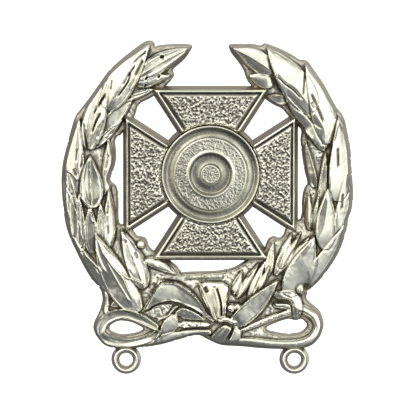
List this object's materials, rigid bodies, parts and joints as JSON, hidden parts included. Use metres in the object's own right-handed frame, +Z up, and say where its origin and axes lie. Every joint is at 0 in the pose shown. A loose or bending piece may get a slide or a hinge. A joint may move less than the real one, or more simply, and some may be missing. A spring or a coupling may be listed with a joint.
{
  "type": "wreathed cross badge",
  "caption": "Silvered pin-back badge: cross with stippled arms and a target disc inside a laurel wreath tied with a ribbon bow, with hanging eyelets and a locking pin catch.",
  "frame": {"origin": "centre of the target on the badge's flat back, which rests against cloth", "axes": "+Z up the badge to the wreath's open top, +X to the wearer's left (right in a front view), +Y out of the flat back towards the cloth; the relief faces -Y"},
  "size_m": [0.028, 0.0054, 0.032],
  "materials": {
    "wreath_metal": "satin",
    "cross_metal": "satin",
    "fittings_metal": "satin",
    "pin_steel": "polished"
  },
  "bodies": {
    "badge": {"wreath_branch_left": "wreath_metal", "wreath_branch_right": "wreath_metal", "ribbon_bow": "wreath_metal", "eyelet_left": "wreath_metal", "eyelet_right": "wreath_metal", "cross": "cross_metal", "target_disc": "cross_metal", "pin_joint": "fittings_metal", "hinge_rivet": "fittings_metal", "catch_housing": "fittings_metal"},
    "pin": {"pin_stem": "pin_steel"},
    "rotor": {"catch_rotor": "fittings_metal"}
  },
  "joints": [
    {"name": "pin_swing", "type": "hinge", "parent": "badge", "child": "pin", "pos_m": [-0.0063, 0.0015, 0], "axis": [0, 0, 1], "range_deg": [0, 110]},
    {"name": "catch_turn", "type": "hinge", "parent": "badge", "child": "rotor", "pos_m": [0.0061, 0.0015, 0], "axis": [-1, 0, 0], "range_deg": [0, 120]}
  ]
}
